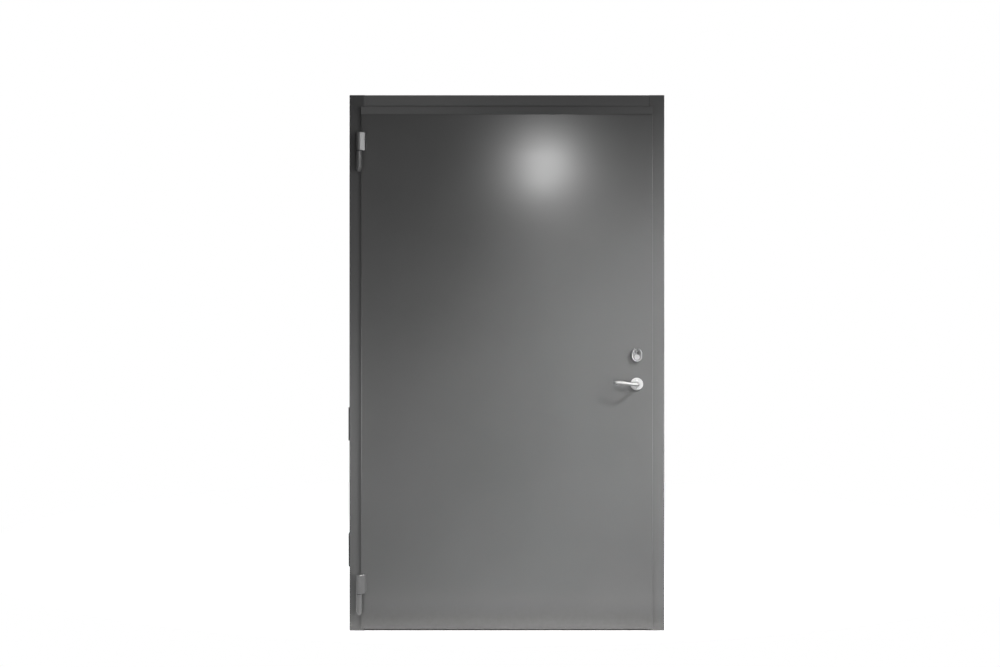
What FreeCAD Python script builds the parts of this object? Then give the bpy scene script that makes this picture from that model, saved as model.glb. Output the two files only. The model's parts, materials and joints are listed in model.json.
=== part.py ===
import FreeCAD, Part
import math
import os
import re
import Sketcher

doc = FreeCAD.newDocument("utility_door")

# Driving sizes in millimetres: X to the right, Y into the wall, Z up from the floor.
# The origin is on the floor, in the middle of the doorway, in the plane of the frame's front.
sizes = doc.addObject("Spreadsheet::Sheet", "Sizes")
SIZES = [
    # whole set and pressed frame profile
    ("set_width", "1250"),
    ("set_height", "2125"),
    ("frame_depth", "100"),
    ("frame_sheet", "2"),
    ("face_width", "60"),
    ("face_return", "22"),
    ("rebate_depth", "45"),
    ("stop_width", "15"),
    ("rear_width", "60"),
    ("rear_return", "15"),
    ("frame_bend", "3"),
    ("fixing_radius", "5.5"),
    ("fixing_pitch", "500"),
    ("fixing_low", "320"),
    ("fixing_depth", "75"),
    # wall packers behind the hinge jamb
    ("packer_thick", "4"),
    ("packer_tall", "131"),
    ("packer_deep", "60"),
    ("packer_inset", "3"),
    ("packer_slot", "13"),
    # folded sill
    ("sill_sheet", "2"),
    ("sill_top", "24"),
    ("sill_rise", "25"),
    # seals
    ("seal_width", "10"),
    ("seal_thick", "7.4"),
    ("seal_inset", "2.5"),
    ("seal_round", "3.3"),
    # leaf
    ("leaf_lap", "12.5"),
    ("leaf_bottom", "9"),
    ("leaf_front", "13"),
    ("edge_depth", "8"),
    ("front_sheet", "1.5"),
    ("front_lip", "36"),
    ("front_bend", "2.5"),
    ("leaf_side_room", "7"),
    ("leaf_foot_room", "3"),
    ("body_back", "37"),
    ("back_sheet", "1.2"),
    ("back_bend", "2.5"),
    # drip strip over the top edge of the leaf
    ("cap_sheet", "1.5"),
    ("cap_leg", "31"),
    ("cap_flare", "4"),
    # hinges
    ("hinge_out", "28"),
    ("hinge_beside", "6.5"),
    ("knuckle_radius", "11"),
    ("knuckle_tall", "75"),
    ("frame_half_tall", "82"),
    ("pin_radius", "6"),
    ("pin_room", "0.05"),
    ("pin_up", "52"),
    ("pin_down", "50"),
    ("pin_top_room", "1"),
    ("washer_thick", "3"),
    ("upper_joint_drop", "224.5"),
    ("lower_joint", "150.5"),
    ("frame_wing", "6"),
    ("leaf_wing", "3.5"),
    ("leaf_wing_reach", "27"),
    ("web_crest", "19.5"),
    ("web_crest_out", "2"),
    ("wing_set_in", "1"),
    ("knuckle_dome", "3"),
    ("bullet_tall", "20"),
    ("bullet_end", "5"),
    # lock and furniture
    ("backset", "44.2"),
    ("spindle_high", "978.8"),
    ("cylinder_rise", "114.5"),
    ("spindle_side", "9"),
    ("spindle_hole", "11"),
    ("rose_radius", "25"),
    ("rose_thick", "8"),
    ("rose_slope", "3"),
    ("neck_radius", "8.5"),
    ("neck_room", "0.3"),
    ("neck_start", "1"),
    ("lever_stand", "56"),
    ("lever_reach", "95"),
    ("lever_tilt", "4.5"),
    ("waist_run", "25"),
    ("waist_long", "20"),
    ("waist_thick", "11.5"),
    ("grip_run", "18"),
    ("grip_thick", "17"),
    ("return_long", "38"),
    ("return_taper", "3.5"),
    ("socket_deep", "34"),
    ("socket_room", "1"),
    ("ring_wide", "43"),
    ("ring_tall", "55"),
    ("ring_out", "16"),
    ("ring_wall", "5"),
    ("ring_floor", "3"),
    ("ring_taper", "7"),
    ("cylinder_out", "14"),
    ("plug_radius", "10.5"),
    ("plug_drop", "8"),
    ("plug_out", "15"),
    ("key_wide", "8"),
    ("key_tall", "2"),
    ("key_deep", "5"),
    ("turn_long", "34"),
    ("turn_thick", "9"),
    ("turn_out", "22"),
    ("turn_collar", "2"),
    ("forend_wide", "20"),
    ("forend_tall", "235"),
    ("forend_thick", "3"),
    ("forend_drop", "60"),
    ("bolt_wide", "12"),
    ("latch_tall", "30"),
    ("dead_tall", "36"),
    ("bolt_long", "24"),
    ("strike_wide", "24"),
    ("strike_tall", "190"),
    ("strike_room", "2"),
    ("box_deep", "20"),
    ("box_lap", "2"),
    ("box_wall", "3"),
]
for row, (name, value) in enumerate(SIZES, start=1):
    sizes.set("A%d" % row, name)
    sizes.set("B%d" % row, value)
    sizes.setAlias("B%d" % row, name)
doc.recompute()


def formula(text):
    """An expression in size names, pointed at the sheet."""
    return re.sub(r"[a-z][a-z_]+", lambda m: "Sizes." + m.group(0), text)


def value(text):
    """The present value of an expression in size names."""
    return float(sizes.evalExpression(formula(text)))


def bind(thing, prop, text):
    thing.setExpression(prop, formula(text))


def place(thing, x="0", y="0", z="0"):
    bind(thing, ".Placement.Base.x", x)
    bind(thing, ".Placement.Base.y", y)
    bind(thing, ".Placement.Base.z", z)
    return thing


def body(label, x="0", y="0", z="0"):
    made = doc.addObject("PartDesign::Body", label)
    made.Label = label
    return place(made, x, y, z)


def sketch(owner, plane, at="0"):
    """An empty sketch on one of the body's own planes, moved along the plane's normal."""
    made = owner.newObject("Sketcher::SketchObject", owner.Name + "_sketch")
    base = [f for f in owner.Origin.OriginFeatures if f.Role == plane + "_Plane"][0]
    made.AttachmentSupport = [(base, "")]
    made.MapMode = "FlatFace"
    bind(made, ".AttachmentOffset.Base.z", at)
    return made


def pin_point(made, geo, end, x, y):
    """Hold one point of a sketch at a place given by two expressions."""
    for kind, text, axis in (("DistanceX", x, -2), ("DistanceY", y, -1)):
        now = value(text)
        if abs(now) < 1e-9:
            made.addConstraint(Sketcher.Constraint("PointOnObject", geo, end, axis))
        else:
            held = made.addConstraint(Sketcher.Constraint(kind, -1, 1, geo, end, now))
            bind(made, "Constraints[%d]" % held, text)


def arc(start, end, radius):
    """The arc that runs anticlockwise from one point to another."""
    chord = end - start
    rise = math.sqrt(max(radius ** 2 - (chord.Length / 2) ** 2, 0))
    inward = FreeCAD.Vector(-chord.y, chord.x, 0).normalize()
    centre = (start + end) * 0.5 + inward * rise
    first = math.atan2(start.y - centre.y, start.x - centre.x)
    last = math.atan2(end.y - centre.y, end.x - centre.x)
    whole = Part.Circle(centre, FreeCAD.Vector(0, 0, 1), radius)
    return Part.ArcOfCircle(whole, first, last if last > first else last + 2 * math.pi)


def polygon(owner, plane, points, at="0", rounds=None):
    """A closed outline with every corner held by expressions; rounds names the radius of each curved side."""
    made = sketch(owner, plane, at)
    rounds = rounds or {}
    spots = [FreeCAD.Vector(value(x), value(y), 0) for x, y in points]
    count = len(points)
    for i in range(count):
        start, end = spots[i], spots[(i + 1) % count]
        side = arc(start, end, value(rounds[i])) if i in rounds else Part.LineSegment(start, end)
        made.addGeometry(side, False)
    for i in range(count):
        made.addConstraint(Sketcher.Constraint("Coincident", i, 2, (i + 1) % count, 1))
    for i, (x, y) in enumerate(points):
        pin_point(made, i, 1, x, y)
    for i, radius in rounds.items():
        held = made.addConstraint(Sketcher.Constraint("Radius", i, value(radius)))
        bind(made, "Constraints[%d]" % held, radius)
    return made


def rectangle(owner, plane, x0, y0, x1, y1, at="0"):
    return polygon(owner, plane, [(x0, y0), (x1, y0), (x1, y1), (x0, y1)], at)


def circles(owner, plane, spots, radius, at="0"):
    """Equal circles round the given centres."""
    made = sketch(owner, plane, at)
    for i, (x, y) in enumerate(spots):
        centre = FreeCAD.Vector(value(x), value(y), 0)
        made.addGeometry(Part.Circle(centre, FreeCAD.Vector(0, 0, 1), value(radius)), False)
        pin_point(made, i, 3, x, y)
        held = made.addConstraint(Sketcher.Constraint("Radius", i, value(radius)))
        bind(made, "Constraints[%d]" % held, radius)
    return made


def oval(owner, plane, x, y, wide, tall, at="0"):
    """An upright outline with straight sides and round ends."""
    made = sketch(owner, plane, at)
    radius = "(%s)/2" % wide
    high = "(%s)+((%s)-(%s))/2" % (y, tall, wide)
    low = "(%s)-((%s)-(%s))/2" % (y, tall, wide)
    r, cx, cy1, cy0 = value(radius), value(x), value(high), value(low)
    up = FreeCAD.Vector(0, 0, 1)
    top = Part.Circle(FreeCAD.Vector(cx, cy1, 0), up, r)
    foot = Part.Circle(FreeCAD.Vector(cx, cy0, 0), up, r)
    made.addGeometry(Part.ArcOfCircle(top, 0, math.pi), False)
    made.addGeometry(Part.LineSegment(FreeCAD.Vector(cx - r, cy1, 0), FreeCAD.Vector(cx - r, cy0, 0)), False)
    made.addGeometry(Part.ArcOfCircle(foot, math.pi, 2 * math.pi), False)
    made.addGeometry(Part.LineSegment(FreeCAD.Vector(cx + r, cy0, 0), FreeCAD.Vector(cx + r, cy1, 0)), False)
    for i in range(4):
        made.addConstraint(Sketcher.Constraint("Tangent", i, 2, (i + 1) % 4, 1))
    pin_point(made, 0, 3, x, high)
    pin_point(made, 2, 3, x, low)
    held = made.addConstraint(Sketcher.Constraint("Radius", 0, r))
    bind(made, "Constraints[%d]" % held, radius)
    return made


def pad(owner, outline, length, reverse=False):
    made = owner.newObject("PartDesign::Pad", owner.Name + "_pad")
    made.Profile = outline
    bind(made, "Length", length)
    made.Reversed = reverse
    outline.Visibility = False
    return made


def pocket(owner, outline, length, reverse=False):
    made = owner.newObject("PartDesign::Pocket", owner.Name + "_pocket")
    made.Profile = outline
    bind(made, "Length", length)
    made.Reversed = reverse
    outline.Visibility = False
    return made


def soften(owner, radius, wanted):
    """Round the edges of the body's last feature that pass the test."""
    doc.recompute()
    last = owner.Tip
    names = ["Edge%d" % i for i, e in enumerate(last.Shape.Edges, start=1) if wanted(e)]
    made = owner.newObject("PartDesign::Fillet", owner.Name + "_round")
    made.Base = (last, names)
    bind(made, "Radius", radius)
    return made


def spot(edge):
    return edge.CenterOfMass


def runs(edge, axis):
    """True for a straight edge along the axis."""
    if edge.Curve.TypeId != "Part::GeomLine":
        return False
    return abs(abs(edge.Curve.Direction.dot(axis)) - 1) < 1e-6


AX = FreeCAD.Vector(1, 0, 0)
AY = FreeCAD.Vector(0, 1, 0)
AZ = FreeCAD.Vector(0, 0, 1)


# Pressed frame: one folded profile, given from its wall edge inward and from its front back.
INNER = "face_width+stop_width"
PROFILE = [
    ("0", "face_return"),
    ("0", "0"),
    ("face_width", "0"),
    ("face_width", "rebate_depth"),
    (INNER, "rebate_depth"),
    (INNER, "frame_depth"),
    (INNER + "-rear_width", "frame_depth"),
    (INNER + "-rear_width", "frame_depth-rear_return"),
    (INNER + "-rear_width+frame_sheet", "frame_depth-rear_return"),
    (INNER + "-rear_width+frame_sheet", "frame_depth-frame_sheet"),
    (INNER + "-frame_sheet", "frame_depth-frame_sheet"),
    (INNER + "-frame_sheet", "rebate_depth+frame_sheet"),
    ("face_width-frame_sheet", "rebate_depth+frame_sheet"),
    ("face_width-frame_sheet", "frame_sheet"),
    ("frame_sheet", "frame_sheet"),
    ("frame_sheet", "face_return"),
]
LEAF_HALF = "(set_width/2-face_width+leaf_lap)"
LEAF_TOP = "(set_height-face_width+leaf_lap-cap_sheet)"
BODY_HALF = "(set_width/2-face_width-leaf_side_room)"
BODY_TOP = "(set_height-face_width-leaf_side_room)"
BODY_FOOT = "(leaf_bottom+leaf_foot_room)"
CLEAR = "set_width-2*(face_width+stop_width)"
BOLT_LINE = "(body_back-(leaf_front-edge_depth))/2"
LOCK_MID = "(spindle_high+cylinder_rise-forend_drop)"
LATCH_AT = "(forend_drop-cylinder_rise)"
DEAD_AT = "(forend_drop/2)"


def minus(text):
    return "0" if text == "0" else "-(%s)" % text


def jamb(label, side):
    """An upright of the frame, -1 at the hinges and 1 at the lock."""
    made = body(label, x="%d*set_width/2" % side)
    points = [(x if side < 0 else minus(x), y) for x, y in PROFILE]
    pad(made, polygon(made, "XY", points), "set_height")
    soften(made, "frame_bend", lambda e: runs(e, AZ) and on_face(e))
    spots = [("fixing_depth", "fixing_low+%d*fixing_pitch" % i) for i in range(4)]
    inner = INNER if side < 0 else minus(INNER)
    pocket(made, circles(made, "YZ", spots, "fixing_radius", inner), "2*frame_sheet", side > 0)
    return made


def on_face(edge):
    """True for the two outer bends of the frame's front face."""
    where = spot(edge)
    across = abs(where.x)
    return where.y < 0.01 and (across < 0.01 or abs(across - value("face_width")) < 0.01)


jamb("hinge_jamb", -1)
lock_jamb = jamb("lock_jamb", 1)
strike_hole = rectangle(
    lock_jamb, "YZ", BOLT_LINE + "-strike_wide/2", LOCK_MID + "-strike_tall/2",
    BOLT_LINE + "+strike_wide/2", LOCK_MID + "+strike_tall/2", minus("face_width-frame_sheet"),
)
pocket(lock_jamb, strike_hole, "2*frame_sheet")

# The head fits between the uprights; its stop is cut back to meet theirs.
frame_head = body("frame_head", x="-(set_width/2-face_width)", z="set_height")
pad(frame_head, polygon(frame_head, "YZ", [(y, minus(x)) for x, y in PROFILE]), "set_width-2*face_width")
soften(frame_head, "frame_bend", lambda e: runs(e, AX) and spot(e).y < 0.01)
for x0, x1 in (("0", "stop_width"), ("set_width-2*face_width-stop_width", "set_width-2*face_width")):
    end = rectangle(frame_head, "XY", x0, "rebate_depth", x1, "2*frame_depth")
    pocket(frame_head, end, INNER)

# Folded sill with a raised stop behind the leaf.
threshold = body("threshold", x="-(%s)/2" % CLEAR)
SILL = [
    ("0", "0"),
    ("rebate_depth+sill_sheet", "0"),
    ("rebate_depth+sill_sheet", "sill_rise-sill_sheet"),
    ("rebate_depth+sill_top-sill_sheet", "sill_rise-sill_sheet"),
    ("rebate_depth+sill_top-sill_sheet", "0"),
    ("frame_depth", "0"),
    ("frame_depth", "sill_sheet"),
    ("rebate_depth+sill_top", "sill_sheet"),
    ("rebate_depth+sill_top", "sill_rise"),
    ("rebate_depth", "sill_rise"),
    ("rebate_depth", "sill_sheet"),
    ("0", "sill_sheet"),
]
pad(threshold, polygon(threshold, "YZ", SILL), CLEAR)
tongue = rectangle(threshold, "XY", "-stop_width", "0", CLEAR + "+stop_width", "rebate_depth-seal_thick")
pad(threshold, tongue, "sill_sheet")


def upright_seal(label, side):
    """A soft strip up one upright's stop."""
    made = body(label, x="%d*(set_width/2-face_width-seal_inset)" % side, y="rebate_depth")
    x1 = "seal_width" if side < 0 else "-seal_width"
    strip = rectangle(made, "XY", "0", "0", x1, "-seal_thick")
    pad(made, strip, "set_height-face_width-seal_inset")
    soften(made, "seal_round", lambda e: runs(e, AZ) and spot(e).y < -0.01)
    return made


def level_seal(label, z):
    """A soft strip between the upright seals."""
    made = body(label, x="-(set_width/2-face_width-seal_inset-seal_width)", y="rebate_depth", z=z)
    strip = rectangle(made, "YZ", "0", "0", "-seal_thick", "-seal_width")
    pad(made, strip, "set_width-2*(face_width+seal_inset+seal_width)")
    soften(made, "seal_round", lambda e: runs(e, AX) and spot(e).y < -0.01)
    return made


upright_seal("hinge_side_seal", -1)
upright_seal("lock_side_seal", 1)
level_seal("head_seal", "set_height-face_width-seal_inset")
level_seal("sill_seal", "sill_rise")

# Strike in the lock upright: a plate in the rebate wall and a dust box behind it.
strike_plate = body("strike_plate", x="set_width/2-face_width", y=BOLT_LINE, z=LOCK_MID)
pad(strike_plate, rectangle(strike_plate, "YZ", "-strike_wide/2", "-strike_tall/2", "strike_wide/2",
                            "strike_tall/2"), "frame_sheet")
for at, tall in ((LATCH_AT, "latch_tall"), (DEAD_AT, "dead_tall")):
    hole = rectangle(strike_plate, "YZ", "-(bolt_wide/2+strike_room)", "%s-%s/2-strike_room" % (at, tall),
                     "bolt_wide/2+strike_room", "%s+%s/2+strike_room" % (at, tall))
    pocket(strike_plate, hole, "2*frame_sheet", True)
strike_box = body("strike_box", x="set_width/2-face_width+frame_sheet", y=BOLT_LINE, z=LOCK_MID)
pad(strike_box, rectangle(strike_box, "YZ", "-(strike_wide/2+box_lap)", "-(strike_tall/2+box_lap)",
                          "strike_wide/2+box_lap", "strike_tall/2+box_lap"), "box_deep")
wide, tall = "box_lap-box_wall+strike_wide/2", "box_lap-box_wall+strike_tall/2"
hollow = rectangle(strike_box, "YZ", minus(wide), minus(tall), wide, tall)
pocket(strike_box, hollow, "box_deep-box_wall", True)


def packer(label, z):
    """A slotted packer between the hinge upright and the wall."""
    made = body(label, x="-set_width/2", y="packer_inset", z=z)
    block = rectangle(made, "YZ", "0", "-packer_tall/2", "packer_deep", "packer_tall/2")
    pad(made, block, "packer_thick", True)
    slot = rectangle(made, "YZ", "packer_deep/2", "-packer_slot/2", "2*packer_deep", "packer_slot/2")
    pocket(made, slot, "packer_thick")
    pocket(made, slot_end(made), "packer_thick")
    return made


def slot_end(owner):
    return circles(owner, "YZ", [("packer_deep/2", "0")], "packer_slot/2")


packer("lower_wall_packer", "fixing_low")
packer("middle_wall_packer", "fixing_low+fixing_pitch")

# Leaf: a front tray whose edges lap the frame, and a deeper back tray inside the rebate.
front_skin = body("leaf_front_skin")
EDGE_BACK = "leaf_front-edge_depth"
pad(
    front_skin,
    rectangle(front_skin, "XZ", "-" + LEAF_HALF, "leaf_bottom", LEAF_HALF, LEAF_TOP, EDGE_BACK),
    "edge_depth",
)
soften(front_skin, "front_bend", lambda e: spot(e).y < -value("leaf_front") + 0.01)
pocket(
    front_skin,
    rectangle(front_skin, "XZ", "-(%s-front_lip)" % LEAF_HALF, "leaf_bottom+front_lip",
              LEAF_HALF + "-front_lip", LEAF_TOP + "-front_lip", EDGE_BACK),
    "edge_depth-front_sheet", True,
)
pocket(
    front_skin,
    rectangle(front_skin, "XZ", "-(%s-front_sheet)" % LEAF_HALF, "leaf_bottom+front_sheet",
              LEAF_HALF + "-front_sheet", LEAF_TOP + "-front_sheet", EDGE_BACK + "+front_sheet"),
    "edge_depth-2*front_sheet", True,
)
SPINDLE = (BODY_HALF + "-backset", "spindle_high")
CYLINDER = (BODY_HALF + "-backset", "spindle_high+cylinder_rise")
holes = circles(front_skin, "XZ", [SPINDLE, CYLINDER], "spindle_hole", "leaf_front")
pocket(front_skin, holes, "2*front_sheet")

back_skin = body("leaf_back_skin")
pad(
    back_skin,
    rectangle(back_skin, "XZ", minus(BODY_HALF), BODY_FOOT, BODY_HALF, BODY_TOP, "-body_back"),
    "body_back+" + EDGE_BACK,
)
soften(back_skin, "back_bend", lambda e: spot(e).y > value("body_back") - 0.01)
pocket(
    back_skin,
    rectangle(back_skin, "XZ", minus(BODY_HALF + "-back_sheet"), BODY_FOOT + "+back_sheet",
              BODY_HALF + "-back_sheet", BODY_TOP + "-back_sheet", EDGE_BACK),
    "body_back+" + EDGE_BACK + "-back_sheet",
)
holes = circles(back_skin, "XZ", [SPINDLE, CYLINDER], "spindle_hole", "-body_back")
pocket(back_skin, holes, "2*back_sheet", True)
forend_hole = rectangle(
    back_skin, "YZ", BOLT_LINE + "-forend_wide/2", LOCK_MID + "-forend_tall/2",
    BOLT_LINE + "+forend_wide/2", LOCK_MID + "+forend_tall/2", BODY_HALF,
)
pocket(back_skin, forend_hole, "2*back_sheet")

top_cap = body("leaf_top_cap", x="-" + LEAF_HALF, z=LEAF_TOP)
CAP = [
    ("-(leaf_front+cap_sheet)", "cap_sheet"),
    ("-(leaf_front+cap_sheet+cap_flare)", "cap_sheet-cap_leg"),
    ("-(leaf_front+cap_flare)", "cap_sheet-cap_leg"),
    ("-leaf_front", "0"),
    ("-(%s)" % EDGE_BACK, "0"),
    ("-(%s)" % EDGE_BACK, "cap_sheet"),
]
pad(top_cap, polygon(top_cap, "YZ", CAP), "2*" + LEAF_HALF)
soften(top_cap, "cap_sheet", lambda e: runs(e, AX) and spot(e).y < -value("leaf_front") and spot(e).z > 0)

# Lock edge, with both bolts drawn back level with the plate.
forend = body("lock_forend", x=BODY_HALF, y=BOLT_LINE, z=LOCK_MID)
pad(forend, rectangle(forend, "YZ", "-forend_wide/2", "-forend_tall/2", "forend_wide/2", "forend_tall/2"),
    "forend_thick", True)
for label, at, tall in (("latch_bolt", LATCH_AT, "latch_tall"), ("dead_bolt", DEAD_AT, "dead_tall")):
    corners = ("-bolt_wide/2", "%s-%s/2" % (at, tall), "bolt_wide/2", "%s+%s/2" % (at, tall))
    pocket(forend, rectangle(forend, "YZ", *corners), "forend_thick")
    bolt = body(label, x=BODY_HALF, y=BOLT_LINE, z=LOCK_MID)
    pad(bolt, rectangle(bolt, "YZ", *corners), "bolt_long", True)


def revolve(owner, outline, axis="V_Axis"):
    made = owner.newObject("PartDesign::Revolution", owner.Name + "_turned")
    made.Profile = outline
    made.ReferenceAxis = (outline, [axis])
    made.Angle = 360
    outline.Visibility = False
    return made


def hinge(name, joint):
    """A lift-off hinge: the leaf's half drops over a pin standing in the frame's half."""
    x, y = "-(%s+hinge_beside)" % LEAF_HALF, "-hinge_out"
    low = body(name + "_hinge_frame_half", x=x, y=y, z=joint + "-washer_thick/2")
    revolve(low, polygon(low, "XZ", [
        ("0", "-frame_half_tall"),
        ("bullet_end", "-frame_half_tall"),
        ("knuckle_radius", "-(frame_half_tall-bullet_tall)"),
        ("knuckle_radius", "0"),
        ("pin_radius", "0"),
        ("pin_radius", "-pin_down"),
        ("0", "-pin_down"),
    ]))
    edge = "-knuckle_radius"
    plate = rectangle(low, "XY", edge, "knuckle_radius/2", edge + "+frame_wing", "hinge_out")
    pad(low, plate, "frame_half_tall-bullet_tall", True)
    high = body(name + "_hinge_leaf_half", x=x, y=y, z=joint + "+washer_thick/2+pin_room")
    revolve(high, polygon(high, "XZ", [
        ("pin_radius+pin_room", "0"),
        ("knuckle_radius", "0"),
        ("knuckle_radius", "knuckle_tall-knuckle_dome"),
        ("knuckle_radius-knuckle_dome", "knuckle_tall"),
        ("0", "knuckle_tall"),
        ("0", "pin_up"),
        ("pin_radius+pin_room", "pin_up"),
    ]))
    seat = "hinge_out-leaf_front"
    web = polygon(high, "XY", [
        ("hinge_beside+wing_set_in", seat),
        ("hinge_beside+wing_set_in", "0"),
        ("knuckle_radius/2", "-3*knuckle_radius/4"),
        ("web_crest", "-web_crest_out"),
        ("leaf_wing_reach", seat + "-leaf_wing"),
        ("leaf_wing_reach", seat),
    ])
    pad(high, web, "knuckle_tall-knuckle_dome")
    pin = body(name + "_hinge_pin", x=x, y=y, z=joint + "-washer_thick/2-pin_down")
    pad(pin, circles(pin, "XY", [("0", "0")], "pin_radius"), "pin_down+washer_thick+pin_up-pin_top_room")
    washer = body(name + "_hinge_washer", x=x, y=y, z=joint + "-washer_thick/2")
    pad(washer, circles(washer, "XY", [("0", "0")], "knuckle_radius"), "washer_thick")
    pocket(washer, circles(washer, "XY", [("0", "0")], "pin_radius"), "washer_thick", True)


hinge("upper", "set_height-upper_joint_drop")
hinge("lower", "lower_joint")


def rose(label, face, side, centre, bore):
    """A turned plate on the leaf with a sloped rim and a bore, -1 outside and 1 inside."""
    made = body(label, x=centre[0], y=face, z=centre[1])
    revolve(made, polygon(made, "XY", [
        (bore, "0"),
        ("rose_radius", "0"),
        ("rose_radius", "%d*(rose_thick-rose_slope)" % side),
        ("rose_radius-rose_slope/3", "%d*(rose_thick-rose_slope/3)" % side),
        ("rose_radius-rose_slope", "%d*rose_thick" % side),
        (bore, "%d*rose_thick" % side),
    ]))
    return made


OUT = "-leaf_front"
IN = "body_back"
rose("outside_rose", OUT, -1, SPINDLE, "neck_radius+neck_room")
rose("inside_rose", IN, 1, SPINDLE, "neck_radius+neck_room")
rose("inside_turn_rose", IN, 1, CYLINDER, "neck_radius")

# Lock cylinder outside: an oval collar, the cylinder's oval face and its round plug.
ring = body("outside_cylinder_ring", x=CYLINDER[0], y=OUT, z=CYLINDER[1])
flank = pad(ring, oval(ring, "XZ", "0", "0", "ring_wide", "ring_tall"), "ring_out")
bind(flank, "TaperAngle", "-ring_taper")
pocket(ring, oval(ring, "XZ", "0", "0", "ring_wide-2*ring_wall", "ring_tall-2*ring_wall", "ring_out"),
       "ring_out-ring_floor")
barrel = body("outside_cylinder", x=CYLINDER[0], y=OUT, z=CYLINDER[1])
pad(barrel, oval(barrel, "XZ", "0", "0", "ring_wide-2*ring_wall", "ring_tall-2*ring_wall", "ring_floor"),
    "cylinder_out-ring_floor")
pocket(barrel, circles(barrel, "XZ", [("0", "-plug_drop")], "plug_radius", "cylinder_out"),
       "cylinder_out-ring_floor")
plug = body("cylinder_plug", x=CYLINDER[0], y=OUT, z=CYLINDER[1] + "-plug_drop")
pad(plug, circles(plug, "XZ", [("0", "0")], "plug_radius", "ring_floor"), "plug_out-ring_floor")
slot = rectangle(plug, "XZ", "-key_wide/2", "-key_tall/2", "key_wide/2", "key_tall/2", "plug_out")
pocket(plug, slot, "key_deep")

turn = body("inside_thumb_turn", x=CYLINDER[0], y=IN, z=CYLINDER[1])
pad(turn, circles(turn, "XZ", [("0", "0")], "neck_radius"), "rose_thick+turn_collar", True)
pad(turn, oval(turn, "XZ", "0", "0", "turn_thick", "turn_long", "-(rose_thick+turn_collar)"),
    "turn_out-rose_thick-turn_collar", True)


def tilt(thing):
    """Turn a piece of the handle about the spindle, so that the levers rise a little to their tips."""
    thing.Placement.Rotation = FreeCAD.Rotation(AY, 1)
    bind(thing, ".Placement.Rotation.Angle", "lever_tilt")


def square(owner, at):
    half = "spindle_side/2"
    return rectangle(owner, "XZ", "-" + half, "-" + half, half, half, at)


def lever(label, face, side):
    """A lever, -1 outside and 1 inside: a neck, a waisted arm with round elbows, and a returned end."""
    made = body(label, SPINDLE[0], face, SPINDLE[1])
    tilt(made)
    root, line = [text if side < 0 else minus(text) for text in ("neck_start", "lever_stand")]
    neck = circles(made, "XZ", [("0", "0")], "neck_radius", root)
    pad(made, neck, "lever_stand-neck_start", side > 0)
    arm = polygon(made, "XZ", [
        ("neck_radius", "0"),
        ("0", "neck_radius"),
        ("-waist_run", "waist_thick/2"),
        ("-(waist_run+waist_long)", "waist_thick/2"),
        ("-(lever_reach-grip_thick/2-grip_run)", "grip_thick/2"),
        ("-(lever_reach-grip_thick/2)", "grip_thick/2"),
        ("-lever_reach", "0"),
    ], line, rounds={0: "neck_radius", 5: "grip_thick/2"})
    revolve(made, arm, "H_Axis")
    end = circles(made, "XZ", [("-(lever_reach-grip_thick/2)", "0")], "grip_thick/2", line)
    bind(pad(made, end, "return_long", side < 0), "TaperAngle", "-return_taper")
    pocket(made, square(made, root), "socket_deep", side < 0)
    return made


lever("outside_lever", OUT, -1)
lever("inside_lever", IN, 1)
spindle = body("spindle", SPINDLE[0], "-(leaf_front+neck_start+socket_deep-socket_room)", SPINDLE[1])
tilt(spindle)
pad(spindle, square(spindle, "0"), "leaf_front+body_back+2*(neck_start+socket_deep-socket_room)", True)

# Sound shapes only, one file to each sub-part.
doc.recompute()
NODES = [o for o in doc.Objects if o.TypeId == "PartDesign::Body"]
os.makedirs("parts", exist_ok=True)
for thing in doc.Objects:
    if "Invalid" in thing.State or "Error" in thing.State:
        raise RuntimeError("%s did not build" % thing.Label)
for node in NODES:
    if node.Shape.isNull() or not node.Shape.isValid() or len(node.Shape.Solids) != 1:
        raise RuntimeError("%s has no sound shape" % node.Label)
    node.Shape.exportStep("parts/%s.step" % node.Label)
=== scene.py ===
import json
import math

import bmesh
import bpy
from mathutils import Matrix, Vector


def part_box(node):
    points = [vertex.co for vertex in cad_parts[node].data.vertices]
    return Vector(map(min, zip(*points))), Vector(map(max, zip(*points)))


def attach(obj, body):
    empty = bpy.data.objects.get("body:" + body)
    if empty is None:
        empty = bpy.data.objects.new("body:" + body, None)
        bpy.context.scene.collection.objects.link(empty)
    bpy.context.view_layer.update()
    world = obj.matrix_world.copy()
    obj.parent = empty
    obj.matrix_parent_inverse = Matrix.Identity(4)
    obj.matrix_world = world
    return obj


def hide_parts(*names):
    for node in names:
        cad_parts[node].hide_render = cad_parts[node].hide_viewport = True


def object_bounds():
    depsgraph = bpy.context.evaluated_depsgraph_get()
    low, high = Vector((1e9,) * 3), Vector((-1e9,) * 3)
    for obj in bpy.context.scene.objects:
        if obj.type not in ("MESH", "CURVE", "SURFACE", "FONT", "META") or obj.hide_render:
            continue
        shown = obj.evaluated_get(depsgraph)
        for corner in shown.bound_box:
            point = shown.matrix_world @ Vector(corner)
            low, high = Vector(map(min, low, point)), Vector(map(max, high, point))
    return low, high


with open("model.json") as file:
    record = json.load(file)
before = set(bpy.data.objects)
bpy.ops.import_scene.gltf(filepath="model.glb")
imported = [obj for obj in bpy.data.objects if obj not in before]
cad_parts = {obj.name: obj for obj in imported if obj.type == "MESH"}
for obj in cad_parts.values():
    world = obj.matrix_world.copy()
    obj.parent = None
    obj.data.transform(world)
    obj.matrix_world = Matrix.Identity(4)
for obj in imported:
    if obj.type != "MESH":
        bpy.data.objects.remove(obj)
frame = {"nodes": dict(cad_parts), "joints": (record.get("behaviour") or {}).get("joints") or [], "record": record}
CAD_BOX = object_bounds()
NODES = frame["nodes"]
SLOTS = {row["node"]: row["material_slot"] for row in frame["record"]["subparts"]}
AXES = {joint["name"]: Vector(joint["pos_m"]) for joint in frame["joints"]}

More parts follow.
